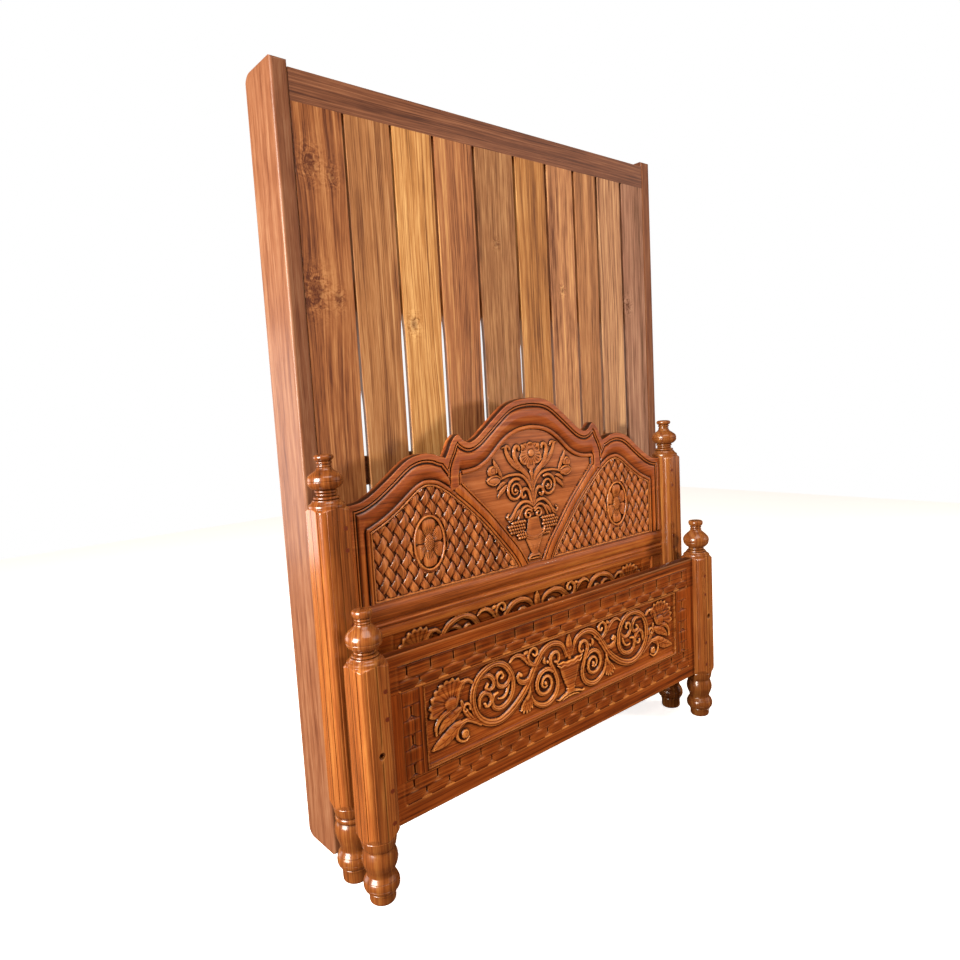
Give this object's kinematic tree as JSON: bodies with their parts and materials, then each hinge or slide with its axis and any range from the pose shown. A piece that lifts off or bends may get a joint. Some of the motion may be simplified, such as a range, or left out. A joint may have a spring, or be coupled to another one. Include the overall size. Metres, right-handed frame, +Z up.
{
  "type": "bed frame",
  "caption": "Carved teak bed, knocked down and stood up: slatted deck on end, headboard with a three-lobed crest and basket weave, footboard with running scrolls.",
  "frame": {"origin": "on the floor, under the middle of the bed's box as it stands knocked down", "axes": "+Z up, +X along the bed's width, -Y the way the carved faces look; the deck stands on end at the back, so its length runs along Z"},
  "size_m": [1.511, 0.408, 1.98],
  "materials": {
    "teak_rail": "polished",
    "teak_plank": "polished",
    "teak_cross": "polished",
    "teak_headboard": "polished",
    "teak_footboard": "polished",
    "teak_carving": "polished",
    "teak_post": "polished",
    "teak_peg": "polished",
    "screw_steel": "satin"
  },
  "bodies": {
    "root": {"side_rail_left": "teak_rail", "side_rail_right": "teak_rail", "head_cross_rail": "teak_cross", "foot_cross_rail": "teak_cross", "bearer_head": "teak_cross", "bearer_middle": "teak_cross", "bearer_foot": "teak_cross", "plank_01": "teak_plank", "plank_02": "teak_plank", "plank_03": "teak_plank", "plank_04": "teak_plank", "plank_05": "teak_plank", "plank_06": "teak_plank", "plank_07": "teak_plank", "plank_08": "teak_plank", "plank_09": "teak_plank", "plank_10": "teak_plank", "deck_screws": "screw_steel", "headboard_post_left": "teak_post", "headboard_post_right": "teak_post", "footboard_post_left": "teak_post", "footboard_post_right": "teak_post", "headboard_crest_centre": "teak_headboard", "headboard_crest_left": "teak_headboard", "headboard_crest_right": "teak_headboard", "headboard_brace_left": "teak_headboard", "headboard_brace_right": "teak_headboard", "headboard_stile_left": "teak_headboard", "headboard_stile_right": "teak_headboard", "headboard_middle_rail": "teak_headboard", "headboard_bottom_rail": "teak_headboard", "headboard_lower_stile_left": "teak_headboard", "headboard_lower_stile_right": "teak_headboard", "headboard_weave_panel_left": "teak_carving", "headboard_weave_panel_right": "teak_carving", "headboard_medallion_left": "teak_carving", "headboard_medallion_right": "teak_carving", "headboard_centre_panel": "teak_carving", "headboard_lower_panel": "teak_carving", "footboard_top_rail": "teak_footboard", "footboard_bottom_rail": "teak_footboard", "footboard_stile_left": "teak_footboard", "footboard_stile_right": "teak_footboard", "footboard_panel_bead": "teak_footboard", "footboard_scroll_panel": "teak_carving", "headboard_pegs": "teak_peg", "footboard_pegs": "teak_peg"}
  },
  "joints": []
}
